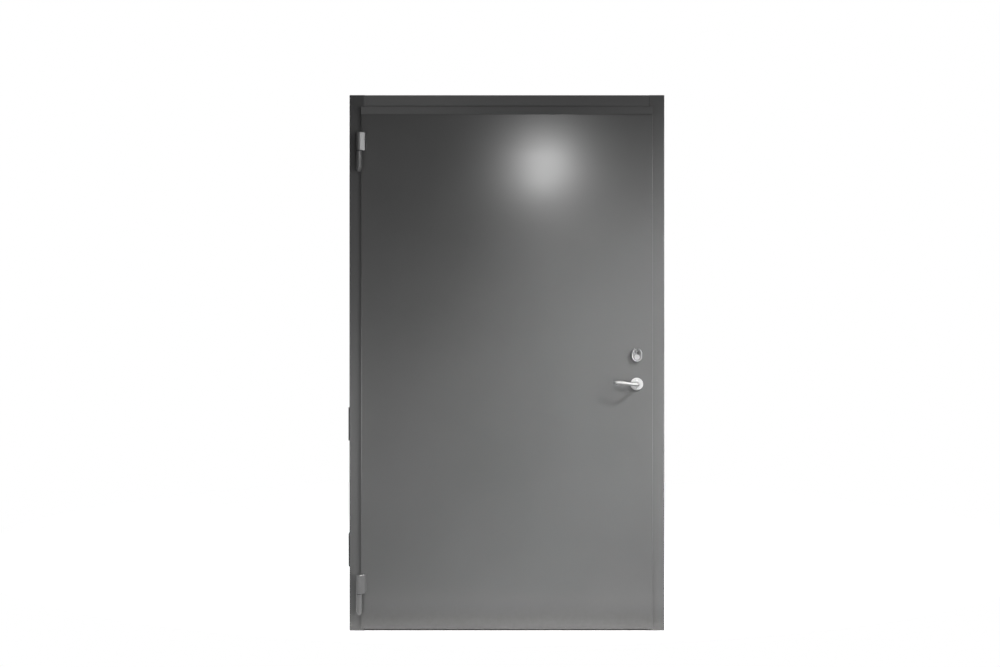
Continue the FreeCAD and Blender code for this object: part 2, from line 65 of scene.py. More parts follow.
# Places read from the frame, in metres: X to the right, Y into the wall, Z up.
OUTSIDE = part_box("leaf_front_skin")[0].y
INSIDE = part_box("leaf_back_skin")[1].y
SPINDLE = AXES["handle_turn"]
HINGE_LINE = AXES["leaf_swing"]
COLLAR_LOW, COLLAR_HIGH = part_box("outside_cylinder_ring")
CYLINDER = (COLLAR_LOW + COLLAR_HIGH) / 2
OUT = Vector((0, -1, 0))
IN = Vector((0, 1, 0))
LEFT = Vector((-1, 0, 0))
RIGHT = Vector((1, 0, 0))
UP = Vector((0, 0, 1))
MM = 0.001


# Materials

RANGE_SOCKETS = ("From Min", "From Max", "To Min", "To Max")
# Places of a mix node's colour sockets, whose names repeat.
MIX_FIRST, MIX_SECOND, MIX_RESULT = 6, 7, 2


def add_node(tree, kind, **settings):
    made = tree.nodes.new(kind)
    for key, value in settings.items():
        setattr(made, key, value)
    return made


def set_range(node, numbers):
    for socket, number in zip(RANGE_SOCKETS, numbers):
        node.inputs[socket].default_value = number


class Finish:
    """A principled material with short calls for the nodes that shape it."""

    def __init__(self, name, roughness, metallic=0.0):
        self.made = bpy.data.materials.new(name)
        self.made.use_nodes = True
        self.tree = self.made.node_tree
        self.shader = self.tree.nodes["Principled BSDF"]
        self.shader.inputs["Roughness"].default_value = roughness
        self.shader.inputs["Metallic"].default_value = metallic
        self.coords = self.node("ShaderNodeTexCoord").outputs["Object"]

    def node(self, kind, **settings):
        return add_node(self.tree, kind, **settings)

    def link(self, start, end):
        self.tree.links.new(start, end)

    def noise(self, scale, detail=2.0, stretch=(1, 1, 1), spread=0.5):
        """Noise of about scale grains to the metre, drawn out along the axes with a small stretch."""
        fit = self.node("ShaderNodeMapping")
        fit.inputs["Scale"].default_value = stretch
        self.link(self.coords, fit.inputs["Vector"])
        made = self.node("ShaderNodeTexNoise")
        made.inputs["Scale"].default_value = scale
        made.inputs["Detail"].default_value = detail
        made.inputs["Roughness"].default_value = spread
        self.link(fit.outputs["Vector"], made.inputs["Vector"])
        return made.outputs["Fac"]

    def remap(self, value, low, high, start=0.3, end=0.7):
        """Carry a value between start and end over to a smooth step between low and high."""
        made = self.node("ShaderNodeMapRange", interpolation_type="SMOOTHSTEP")
        set_range(made, (start, end, low, high))
        self.link(value, made.inputs["Value"])
        return made.outputs["Result"]

    def mix(self, share, first, second):
        """Blend two colours, each a colour or a node's output."""
        made = self.node("ShaderNodeMix", data_type="RGBA")
        self.link(share, made.inputs["Factor"])
        for socket, colour in ((made.inputs[MIX_FIRST], first), (made.inputs[MIX_SECOND], second)):
            if isinstance(colour, bpy.types.NodeSocket):
                self.link(colour, socket)
            else:
                socket.default_value = colour
        return made.outputs[MIX_RESULT]

    def combine(self, operation, first, second):
        """Work on a node's output and either another output or a number."""
        made = self.node("ShaderNodeMath", operation=operation)
        self.link(first, made.inputs[0])
        if isinstance(second, bpy.types.NodeSocket):
            self.link(second, made.inputs[1])
        else:
            made.inputs[1].default_value = second
        return made.outputs[0]

    def times(self, first, second):
        return self.combine("MULTIPLY", first, second)

    def plus(self, first, second):
        return self.combine("ADD", first, second)

    def along(self, axis, low, high):
        """A share that rises from 0 to 1 between two places along an axis of the part."""
        split = self.node("ShaderNodeSeparateXYZ")
        self.link(self.coords, split.inputs["Vector"])
        return self.remap(split.outputs[axis], 0.0, 1.0, low, high)

    def colour(self, value):
        self.link(value, self.shader.inputs["Base Color"])

    def roughness(self, value):
        self.link(value, self.shader.inputs["Roughness"])

    def bump(self, value, depth, strength):
        made = self.node("ShaderNodeBump")
        made.inputs["Strength"].default_value = strength
        made.inputs["Distance"].default_value = depth
        self.link(value, made.inputs["Height"])
        self.link(made.outputs["Normal"], self.shader.inputs["Normal"])


def grey(level, warmth=0.0):
    return (level * (1 + warmth), level, level * (1 - warmth), 1)


WHITE = grey(1.0)
# Paint: tones are shares of its level, and lengths are in metres.
CLOUD_DARK, CLOUD_LIGHT = 0.96, 1.04
FLECK_SHARE, FLECK_LIGHT = 0.35, 1.12
EDGE_BAND = 2.5 * MM
# Painted shade on the leaf's lock edge, which hides the glint on its rounding, and painted light on its hinge
# edge, which lightens the shadow in the gap beside it.
LOCK_EDGE_PAINTED_SHADE, LOCK_EDGE_ROUGHER = 0.7, 0.4
HINGE_EDGE_PAINTED_LIGHT = 1.8
# The paint turns darker and a little warmer towards the floor, in faint patches, up to this height in metres.
LOW_DARKENING_TOP = 0.14
LOW_DARKENING_LEVEL, LOW_DARKENING_WARMTH = 0.66, 0.02
WIPE_SWING = 0.004


def paint(name, level, roughness, painted_light_lock_level=None, edge=None):
    """Powder coat with faint clouds, orange peel and dry wipes, darker towards the floor.

    Given a lock side level it fades across the part to that level on the lock side, a painted gradient of light
    and shade.
    With edge, the place of a leaf's edges, it is dull with painted shade on the lock edge and has painted light on
    the hinge edge.
    """
    made = Finish(name, roughness)
    clouds = made.remap(made.noise(2.2, detail=3.0), 0.0, 1.0)
    grain = made.remap(made.noise(1300.0), 0.0, 1.0)
    tone = made.mix(clouds, grey(level * CLOUD_DARK), grey(level * CLOUD_LIGHT))
    # Painted light and shade: a tone gradient from one side of the part to the other.
    if painted_light_lock_level is not None:
        tone = made.mix(made.along("X", CAD_BOX[0].x, CAD_BOX[1].x), tone, grey(painted_light_lock_level))
    # Painted shade on the lock edge and painted light on the hinge edge.
    if edge is not None:
        tone = made.mix(made.along("X", edge - EDGE_BAND, edge), tone, grey(level * LOCK_EDGE_PAINTED_SHADE))
        tone = made.mix(made.along("X", EDGE_BAND - edge, -edge), tone, grey(level * HINGE_EDGE_PAINTED_LIGHT))
    fleck = made.mix(made.times(grain, FLECK_SHARE), tone, grey(level * FLECK_LIGHT))
    patches = made.remap(made.noise(60.0, detail=4.0), 0.8, 1.0)
    # Darker towards the floor, in faint patches.
    low_darkening = made.times(made.along("Z", LOW_DARKENING_TOP, 0.0), patches)
    made.colour(made.mix(low_darkening, fleck, grey(level * LOW_DARKENING_LEVEL, LOW_DARKENING_WARMTH)))
    wipes = made.noise(9.0, detail=4.0, stretch=(0.6, 1.0, 2.2))
    gloss = made.remap(wipes, roughness - WIPE_SWING, roughness + WIPE_SWING)
    if edge is not None:
        gloss = made.plus(gloss, made.times(made.along("X", edge - EDGE_BAND, edge), LOCK_EDGE_ROUGHER))
    made.roughness(gloss)
    made.bump(made.noise(380.0), depth=0.1 * MM, strength=0.1)
    return made.made


def plated(name, level, roughness, stretch):
    """Satin plated or brushed metal: fine draw lines along one axis, and handling marks in the gloss."""
    made = Finish(name, roughness, metallic=1.0)
    lines = made.noise(1500.0, detail=3.0, stretch=stretch)
    made.colour(made.mix(made.remap(lines, 0.0, 1.0), grey(level * 0.93), grey(level)))
    marks = made.remap(made.noise(130.0, detail=3.0), 0.85, 1.2)
    made.roughness(made.times(marks, roughness))
    made.bump(lines, depth=0.06 * MM, strength=0.3)
    return made.made


def worn_steel(name, level, roughness, stretch):
    """Bare steel underfoot: draw lines, scratches and grey dirt in patches."""
    made = Finish(name, roughness, metallic=1.0)
    lines = made.noise(900.0, detail=4.0, stretch=stretch)
    dirt = made.remap(made.noise(38.0, detail=6.0, spread=0.65), 0.0, 0.8, start=0.48, end=0.75)
    clean = made.mix(made.remap(lines, 0.0, 1.0), grey(level * 0.8), grey(level * 1.05))
    made.colour(made.mix(dirt, clean, grey(level * 0.4, warmth=0.04)))
    made.roughness(made.remap(dirt, roughness, roughness + 0.3, start=0.0, end=0.8))
    made.bump(lines, depth=0.1 * MM, strength=0.35)
    return made.made


def moulded(name, level, roughness):
    """Moulded plastic: fine grain and a dull, lighter bloom in patches."""
    made = Finish(name, roughness)
    bloom = made.remap(made.noise(45.0, detail=5.0), 0.0, 1.0, start=0.35, end=0.75)
    made.colour(made.mix(bloom, grey(level), grey(level * 1.8)))
    made.roughness(made.remap(bloom, roughness, roughness + 0.12, start=0.0, end=1.0))
    made.bump(made.noise(1100.0), depth=0.2 * MM, strength=0.3)
    return made.made


def ribbed(name, level, roughness):
    """Extruded rubber: lengthwise ribs and a dull bloom."""
    made = Finish(name, roughness)
    bloom = made.remap(made.noise(30.0, detail=5.0), 0.0, 1.0, start=0.35, end=0.75)
    made.colour(made.mix(bloom, grey(level), grey(level * 1.9)))
    ribs = made.noise(700.0, detail=1.0, stretch=(1, 1, 0.01))
    made.bump(ribs, depth=0.3 * MM, strength=0.4)
    return made.made


MATERIALS = {
    "leaf_paint": paint("leaf_paint", 0.12, 0.22, edge=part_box("leaf_front_skin")[1].x),
    # The frame and head paints carry a painted gradient of light and shade from side to side; the head's is
    # strong, lighter on the hinge side than on the lock side.
    "frame_paint": paint("frame_paint", 0.115, 0.24, painted_light_lock_level=0.126),
    "head_paint_painted_light": paint("head_paint_painted_light", 0.17, 0.55, painted_light_lock_level=0.098),
    "hinge_paint": paint("hinge_paint", 0.15, 0.22),
    "satin_chrome": plated("satin_chrome", 0.5, 0.52, (0.05, 1, 1)),
    # The cylinder metal is dark: partly its own dull plating, partly painted shade for the hollow inside the
    # collar.
    "cylinder_metal": plated("cylinder_metal", 0.17, 0.45, (1, 1, 0.06)),
    "collar_metal": plated("collar_metal", 0.4, 0.46, (1, 1, 0.06)),
    "bright_steel": plated("bright_steel", 0.62, 0.28, (1, 1, 0.04)),
    "sill_steel": worn_steel("sill_steel", 0.5, 0.32, (0.02, 1, 1)),
    "seal_rubber": ribbed("seal_rubber", 0.02, 0.6),
    "packer_plastic": moulded("packer_plastic", 0.012, 0.5),
    "box_plastic": moulded("box_plastic", 0.03, 0.5),
    "bearing_plastic": moulded("bearing_plastic", 0.015, 0.45),
}
# The plug takes the brighter collar metal, and the cylinder face around it keeps a dark copy of the same plating
# as painted shade.
OWN_FINISH = {"frame_head": "head_paint_painted_light", "leaf_top_cap": "head_paint_painted_light", "cylinder_plug": "collar_metal"}
for node_name, node_object in NODES.items():
    for material_slot in node_object.material_slots:
        material_slot.material = MATERIALS[OWN_FINISH.get(node_name, SLOTS[node_name])]


# Mesh tools

SHARP_ABOVE = 35
MERGE_WITHIN = 1e-7


def piece(name, shape, slot, body, stands_for=(), finish=None):
    """Close a mesh into a piece that rides on a body and takes its finish from a slot or has its own."""
    bmesh.ops.remove_doubles(shape, verts=shape.verts, dist=MERGE_WITHIN)
    bmesh.ops.recalc_face_normals(shape, faces=shape.faces)
    data = bpy.data.meshes.new(name)
    for face in shape.faces:
        face.smooth = True
    shape.to_mesh(data)
    shape.free()
    data.set_sharp_from_angle(angle=math.radians(SHARP_ABOVE))
    made = bpy.data.objects.new(name, data)
    bpy.context.scene.collection.objects.link(made)
    data.materials.append(MATERIALS[finish or slot])
    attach(made, body)
    if stands_for:
        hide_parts(*stands_for)


def loft(shape, rings):
    """Skin equal rings of points in order and close both ends."""
    made = [[shape.verts.new(point) for point in ring] for ring in rings]
    count = len(made[0])
    for low, high in zip(made, made[1:]):
        for i in range(count):
            j = (i + 1) % count
            shape.faces.new((low[i], low[j], high[j], high[i]))
    shape.faces.new(list(reversed(made[0])))
    shape.faces.new(made[-1])


def full_turn(count):
    """Equal angles round a circle."""
    return [2 * math.pi * i / count for i in range(count)]


def radians_of(angles):
    return [math.radians(angle) for angle in angles]


def frame_of(axis):
    """Two directions square to an axis: the second is upright where it can be."""
    axis = axis.normalized()
    side = axis.cross(UP) if abs(axis.z) < 0.9 else RIGHT.copy()
    side.normalize()
    return side, side.cross(axis)


def lathe(shape, centre, axis, profile, count):
    """Turn (radius, height) points about an axis; the profile runs from one end cap to the other."""
    side, lift = frame_of(axis)
    rings = []
    for radius, height in profile:
        middle = centre + axis * height
        rings.append([middle + (side * math.cos(a) + lift * math.sin(a)) * radius for a in full_turn(count)])
    loft(shape, rings)


def oval_loft(shape, centre, axis, wide, tall, profile, count):
    """Skin upright ovals, each drawn in by the profile's first number at the height of its second."""
    side, lift = frame_of(axis)
    straight = (tall - wide) / 2
    rings = []
    for inset, height in profile:
        radius = wide / 2 - inset
        ring = []
        for a in full_turn(count):
            shift = straight if math.sin(a) >= 0 else -straight
            ring.append(centre + axis * height + side * (radius * math.cos(a))
                        + lift * (radius * math.sin(a) + shift))
        rings.append(ring)
    loft(shape, rings)


def arc_points(centre, radius, start, end, steps):
    """Points (x, y) on an arc, angles in degrees."""
    turns = [math.radians(start + (end - start) * i / steps) for i in range(steps + 1)]
    return [(centre[0] + radius * math.cos(a), centre[1] + radius * math.sin(a)) for a in turns]


SCREW_SIDES = 24
HALF_HEAD_STEPS = 10


def slotted_screw(shape, at, axis, radius, turn):
    """A raised countersunk head with a straight slot, standing on a point."""
    side, lift = frame_of(axis)
    along = side * math.cos(turn) + lift * math.sin(turn)
    across = axis.cross(along)
    gap, floor, crown = 0.16 * radius, 0.12 * radius, 0.34 * radius
    lathe(shape, at, axis, [(radius, 0), (radius, floor), (0.3 * radius, floor)], SCREW_SIDES)
    edge = math.asin(gap / radius)
    turns = [edge + (math.pi - 2 * edge) * i / HALF_HEAD_STEPS for i in range(HALF_HEAD_STEPS + 1)]
    for way in (1, -1):
        rings = []
        for scale, height in ((1.0, 0.5 * floor), (0.97, 0.7 * crown), (0.8, crown)):
            ring = []
            for a in turns:
                reach = max(radius * math.sin(a) * scale, gap)
                ring.append(at + axis * height + along * (radius * math.cos(a) * scale)
                            + across * (way * reach))
            rings.append(ring)
        loft(shape, rings)


# Door furniture

LEVER_TILT = math.radians(5.5)
LEVER_BOW = 1.3
NECK_START = 1.1 * MM
ELBOW_RADIUS = 15 * MM
RETURN_BEND = 7 * MM
RETURN_GAP = 46 * MM
TIP_HALF = 4.6 * MM
TIP_ANGLES = (30, 55, 75, 87)
SOLID_GRIP_HALF = 8.5 * MM
ELBOW_STEPS, ARM_STEPS, RETURN_STEPS = 10, 16, 6
LEVER_SIDES = 28
# Shares of the lever's length with the half height and half depth of its section.
LEVER_SECTIONS = [
    (0.0, 8.3 * MM, 8.3 * MM),
    (0.20, 8.3 * MM, 8.3 * MM),
    (0.35, 7.4 * MM, 7.6 * MM),
    (0.48, 6.6 * MM, 6.9 * MM),
    (0.61, 6.6 * MM, 6.6 * MM),
    (0.74, 8.4 * MM, 6.8 * MM),
    (0.82, 8.4 * MM, 6.8 * MM),
    (0.91, 6.8 * MM, 6.0 * MM),
    (1.0, 4.6 * MM, 4.6 * MM),
]


def eased(table, share):
    """Read the last two columns of a table at a share of the way, with smooth steps between its rows."""
    for low, high in zip(table, table[1:]):
        if share <= high[0]:
            t = (share - low[0]) / (high[0] - low[0])
            t = t * t * (3 - 2 * t)
            return [a + (b - a) * t for a, b in zip(low[1:], high[1:])]
    return table[-1][1:]


def lever_line(stand, reach):
    """The middle line of a lever as (across, out) points: neck, elbow, arm, elbow and return."""
    bend, end_bend = ELBOW_RADIUS, RETURN_BEND
    arm = reach - bend - end_bend
    end = stand - end_bend
    points = [(0, out) for out in (NECK_START, 0.3 * stand, stand - bend)]
    points += arc_points((-bend, stand - bend), bend, 0, 90, ELBOW_STEPS)[1:]
    points += [(-bend - arm * i / ARM_STEPS, stand) for i in range(1, ARM_STEPS)]
    points += arc_points((end_bend - reach, end), end_bend, 90, 180, ELBOW_STEPS)
    points += [(-reach, end - (end - RETURN_GAP) * i / RETURN_STEPS) for i in range(1, RETURN_STEPS + 1)]
    return points


def lever(name, face, way):
    """One smooth cast lever with a short return, in place of the plain turned one."""
    low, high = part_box(name)
    stand = max(abs(low.y - face), abs(high.y - face)) - SOLID_GRIP_HALF
    reach = SPINDLE.x - low.x - TIP_HALF
    line = lever_line(stand, reach)
    steps = [math.dist(a, b) for a, b in zip(line, line[1:])]
    total = sum(steps)
    hub = Vector((SPINDLE.x, face, SPINDLE.z))
    sections, gone = [], 0.0
    for i, (across, out) in enumerate(line):
        before, after = line[max(i - 1, 0)], line[min(i + 1, len(line) - 1)]
        run = Vector((after[0] - before[0], way.y * (after[1] - before[1]), 0)).normalized()
        tall, deep = eased(LEVER_SECTIONS, gone / total)
        bow = reach * math.sin(LEVER_TILT) * (-across / reach) ** LEVER_BOW
        sections.append((Vector((across, way.y * out, bow)), run.cross(UP), run, tall, deep))
        gone += steps[i] if i < len(steps) else 0
    middle, normal, run, tall, deep = sections[-1]
    for a in radians_of(TIP_ANGLES):
        tip = middle + run * (tall * math.sin(a))
        sections.append((tip, normal, run, tall * math.cos(a), deep * math.cos(a)))
    rings = []
    for middle, normal, run, tall, deep in sections:
        rings.append([hub + middle + UP * (tall * math.cos(a)) + normal * (deep * math.sin(a))
                      for a in full_turn(LEVER_SIDES)])
    shape = bmesh.new()
    loft(shape, rings)
    piece(name + "_cast", shape, "satin_chrome", "handle", [name])


ROSE_RADIUS = 25 * MM
ROSE_BACK = 0.2 * MM
ROSE_RIM, ROSE_RIM_HIGH = 2.2 * MM, 4.6 * MM
ROSE_DISH_IN, ROSE_DISH_HIGH = 5 * MM, 7.1 * MM
# The dish and the collar round the bore: millimetres from the bore and from the leaf.
ROSE_COLLAR = [(4.0, 7.0), (2.4, 6.9), (2.0, 7.7), (1.0, 8.0), (0.0, 7.7)]
ROSE_SIDES, RIM_STEPS = 80, 6
ROSE_SCREW_DROP, ROSE_SCREW_SEAT = 15 * MM, 6.7 * MM
ROSE_SCREW_RADIUS, ROSE_SCREW_TURN = 3.1 * MM, 0.4
LEVER_BORE, TURN_BORE = 8.8 * MM, 8.5 * MM


def rose(name, face, way, middle, bore):
    """A dished rose with a rolled rim, a collar round its bore and a slotted screw above and below."""
    centre = Vector((middle.x, face, middle.z))
    start = (bore, ROSE_BACK)
    profile = [start, (ROSE_RADIUS, ROSE_BACK)]
    profile += arc_points((ROSE_RADIUS - ROSE_RIM, ROSE_RIM_HIGH), ROSE_RIM, 0, 70, RIM_STEPS)
    profile += [(ROSE_RADIUS - ROSE_DISH_IN, ROSE_DISH_HIGH)]
    profile += [(bore + away * MM, high * MM) for away, high in ROSE_COLLAR]
    shape = bmesh.new()
    lathe(shape, centre, way, profile + [start], ROSE_SIDES)
    piece(name + "_dished", shape, "satin_chrome", "leaf", [name])
    shape = bmesh.new()
    for sign in (1, -1):
        at = centre + way * ROSE_SCREW_SEAT + UP * (sign * ROSE_SCREW_DROP)
        slotted_screw(shape, at, way, ROSE_SCREW_RADIUS, ROSE_SCREW_TURN * sign)
    piece(name + "_screws", shape, "bright_steel", "leaf")


COLLAR_WALL = 6.3 * MM
COLLAR_LIP, COLLAR_LIP_IN = 2.6 * MM, 3.7 * MM
# The collar's flank: millimetres in from its outline and out from the leaf.
COLLAR_FLANK = [(0.0, 0.2), (0.1, 2.0), (0.4, 3.2), (0.8, 8.0)]
# The collar's well: millimetres in from its wall and out from the leaf.
COLLAR_WELL = [(-0.1, 9.0), (0.0, 5.0), (1.0, 4.6)]
COLLAR_SIDES = 96
NOTCH_HALF = 8.5 * MM
NOTCH_DEEP = 9 * MM
NOTCH_POWER = 1.5


def collar():
    """The oval collar round the lock cylinder, with a flared flank, a rolled lip and a notch at the top."""
    wide, tall = COLLAR_HIGH.x - COLLAR_LOW.x, COLLAR_HIGH.z - COLLAR_LOW.z
    out = OUTSIDE - COLLAR_LOW.y
    centre = Vector((CYLINDER.x, OUTSIDE, CYLINDER.z))
    lip = COLLAR_LIP
    profile = [(inset * MM, height * MM) for inset, height in COLLAR_FLANK]
    profile += [(COLLAR_LIP_IN - lip * math.cos(a), out - lip + lip * math.sin(a))
                for a in radians_of(range(0, 181, 20))]
    profile += [(COLLAR_WALL + inset * MM, height * MM) for inset, height in COLLAR_WELL]
    shape = bmesh.new()
    oval_loft(shape, centre, OUT, wide, tall, profile, COLLAR_SIDES)
    for vert in shape.verts:
        across, up = vert.co.x - centre.x, vert.co.z - centre.z
        share = max(0.0, 1 - (across / NOTCH_HALF) ** 2) ** NOTCH_POWER if up > 0 else 0.0
        vert.co.z -= NOTCH_DEEP * share
    replaced = ["outside_cylinder_ring"]
    piece("outside_cylinder_collar", shape, "satin_chrome", "leaf", replaced, "collar_metal")


PLUG_ROOM = 0.15 * MM
FACE_ROOM = 0.2 * MM
FACE_SIDES, FACE_RINGS = 96, 14
DISH_HIGH = 9 * MM
DISH_HALF = 9 * MM
DISH_DEEP = 7 * MM
DISH_FALL = 1.6


def cylinder_face():
    """The oval cylinder in the collar: bored for the plug, and dished above it."""
    low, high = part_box("outside_cylinder")
    plug_low, plug_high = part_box("cylinder_plug")
    plug = (plug_low + plug_high) / 2
    bore = (plug_high.x - plug_low.x) / 2 + PLUG_ROOM
    wide, tall = high.x - low.x - FACE_ROOM, high.z - low.z - FACE_ROOM
    straight = (tall - wide) / 2
    middle = Vector((CYLINDER.x, 0, CYLINDER.z))
    outer, starts = [], []
    for a in full_turn(FACE_SIDES):
        shift = straight if math.sin(a) >= 0 else -straight
        point = middle + Vector((wide / 2 * math.cos(a), 0, wide / 2 * math.sin(a) + shift))
        away = math.atan2(point.z - plug.z, point.x - plug.x)
        outer.append(point)
        starts.append(Vector((plug.x + bore * math.cos(away), 0, plug.z + bore * math.sin(away))))
    rings = [[Vector((p.x, high.y, p.z)) for p in starts]]
    for step in range(FACE_RINGS + 1):
        ring = []
        for inner, rim in zip(starts, outer):
            spot = inner.lerp(rim, step / FACE_RINGS)
            across, up = spot.x - middle.x, spot.z - middle.z - DISH_HIGH
            share = math.exp(-(across * across + up * up) / (DISH_HALF * DISH_HALF) * DISH_FALL)
            ring.append(Vector((spot.x, low.y + DISH_DEEP * share, spot.z)))
        rings.append(ring)
    rings.append([Vector((p.x, high.y, p.z)) for p in outer])
    shape = bmesh.new()
    loft(shape, rings + [rings[0]])
    # The face's dark metal is partly painted shade for the hollow above the plug.
    piece("outside_cylinder_dished", shape, "cylinder_metal", "leaf", ["outside_cylinder"])


lever("outside_lever", OUTSIDE, OUT)
lever("inside_lever", INSIDE, IN)
rose("outside_rose", OUTSIDE, OUT, SPINDLE, LEVER_BORE)
rose("inside_rose", INSIDE, IN, SPINDLE, LEVER_BORE)
rose("inside_turn_rose", INSIDE, IN, CYLINDER, TURN_BORE)
collar()
cylinder_face()


# Hinges

KNUCKLE = 11 * MM
BORE = 6.2 * MM
BORE_ROOM = 1 * MM
DOME = 4.2 * MM
DOME_ANGLES = (18, 36, 54, 70, 83)
EDGE_BREAK = 0.7 * MM
EDGE_LOOP = 0.9 * MM
WEB_ROOT = 62
WEB_SLOPE = 29
WEB_FRONT = 19.2 * MM
WEB_CREST_ROUND = 3.0 * MM
WEB_REACH = 27 * MM
WEB_BACK = 7.5 * MM
WEB_FOOT_SHARES = (0.7, 0.45)
THIN_EDGE_INSET = 1.0 * MM
BARREL_STEPS, FRONT_STEPS, CREST_STEPS, STEEP_STEPS = 44, 8, 8, 6


def web_outline():
    """A hinge leaf half seen from above, about its pin: barrel, sloped front, rounded crest, steep edge."""
    seat = OUTSIDE - HINGE_LINE.y
    corner = Vector((WEB_REACH, seat))
    barrel = arc_points((0, 0), KNUCKLE, WEB_ROOT, 270 + WEB_SLOPE, BARREL_STEPS)
    slope = math.radians(WEB_SLOPE)
    along = Vector((math.cos(slope), math.sin(slope)))
    start = Vector(barrel[-1])
    crest = start + along * WEB_FRONT
    middle = crest + Vector((-along.y, along.x)) * WEB_CREST_ROUND
    steep = math.atan2(seat - middle.y, WEB_REACH - middle.x)
    turn = math.degrees(steep) - 90
    front = [tuple(start + along * (WEB_FRONT * i / FRONT_STEPS)) for i in range(1, FRONT_STEPS)]
    bend = arc_points(middle, WEB_CREST_ROUND, WEB_SLOPE - 90, turn, CREST_STEPS)
    edge = [tuple(Vector(bend[-1]).lerp(corner, i / STEEP_STEPS)) for i in range(1, STEEP_STEPS + 1)]
    foot = [(share * WEB_REACH, seat) for share in WEB_FOOT_SHARES] + [(WEB_BACK, seat)]
    return barrel + front + bend + edge + foot


def drawn_in(outline, inset, edge_limit):
    """The outline moved inwards, less near the thin edge of the web."""
    count = len(outline)
    made = []
    for i, (u, v) in enumerate(outline):
        before, after = outline[i - 1], outline[(i + 1) % count]
        run = Vector((after[0] - before[0], after[1] - before[1])).normalized()
        share = min(max((u - KNUCKLE) / (WEB_REACH - KNUCKLE), 0), 1)
        step = min(inset, inset + (edge_limit - inset) * share)
        made.append((u - run.y * step, v + run.x * step))
    return made


WELD_STEP = 0.55 * MM
WELD_LEG = 2.3 * MM
WELD_SUNK = 0.3 * MM
WELD_PITCH = 3.4 * MM
WELD_RIPPLE = 0.16
WELD_TAPER, WELD_END = 8, 0.15
WELD_ANGLES = (12, 32, 52, 72)
LEAF_WELD_IN, LEAF_WELD_LOW, LEAF_WELD_HIGH = 0.6 * MM, 4 * MM, 7 * MM
FRAME_WELD_ROOM = 3 * MM


def weld(shape, foot, low, high, way):
    """An upright fillet bead with ripples, in the corner between a face towards the viewer and a side."""
    count = int((high - low) / WELD_STEP)
    rings = []
    for i in range(count + 1):
        share = i / count
        ripple = 1 + WELD_RIPPLE * math.sin(2 * math.pi * (high - low) * share / WELD_PITCH)
        ends = min(1.0, WELD_TAPER * min(share, 1 - share) + WELD_END)
        leg = WELD_LEG * ripple * ends
        z = low + (high - low) * share
        ring = [(-WELD_SUNK * way, WELD_SUNK), (way * leg, WELD_SUNK)]
        ring += [(way * leg * math.cos(a), -leg * math.sin(a)) for a in radians_of(WELD_ANGLES)]
        ring += [(-WELD_SUNK * way, -leg)]
        rings.append([foot + Vector((u, v, z)) for u, v in ring])
    loft(shape, rings)


def leaf_half(name, end):
    """The half on the leaf: barrel and web in one, domed on top, bored from below for the pin."""
    low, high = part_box(name)
    pin_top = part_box(end + "_hinge_pin")[1].z + BORE_ROOM
    outline = web_outline()
    levels = [(EDGE_BREAK, low.z), (0.0, low.z + EDGE_BREAK), (0.0, low.z + EDGE_BREAK + EDGE_LOOP)]
    levels += [(0.0, high.z - DOME - EDGE_LOOP), (0.0, high.z - DOME)]
    levels += [(DOME * (1 - math.cos(a)), high.z - DOME + DOME * math.sin(a))
               for a in radians_of(DOME_ANGLES)]
    turns = [math.atan2(v, u) for u, v in outline]
    rings = []
    for height in (pin_top, low.z):
        rings.append([Vector((HINGE_LINE.x + BORE * math.cos(a), HINGE_LINE.y + BORE * math.sin(a), height))
                      for a in turns])
    for inset, height in levels:
        ring = drawn_in(outline, inset, THIN_EDGE_INSET)
        rings.append([Vector((HINGE_LINE.x + u, HINGE_LINE.y + v, height)) for u, v in ring])
    shape = bmesh.new()
    loft(shape, rings)
    piece(name + "_turned", shape, "hinge_paint", "leaf", [name])
    beads = bmesh.new()
    foot = Vector((HINGE_LINE.x + WEB_REACH - LEAF_WELD_IN, OUTSIDE, 0))
    weld(beads, foot, low.z + LEAF_WELD_LOW, high.z - LEAF_WELD_HIGH, 1)
    piece(name + "_weld", beads, "hinge_paint", "leaf")


BULLET = 22 * MM
BULLET_POWER = 0.62
BULLET_ANGLES = (86, 78, 68, 56, 42, 28, 14, 0)
BARREL_SIDES = 56
PLATE_THICK = 6 * MM
PLATE_FRONT, PLATE_CORNER_BACK, PLATE_CORNER = 6 * MM, 8 * MM, 1.2 * MM
PLATE_BEVEL = 1.5 * MM


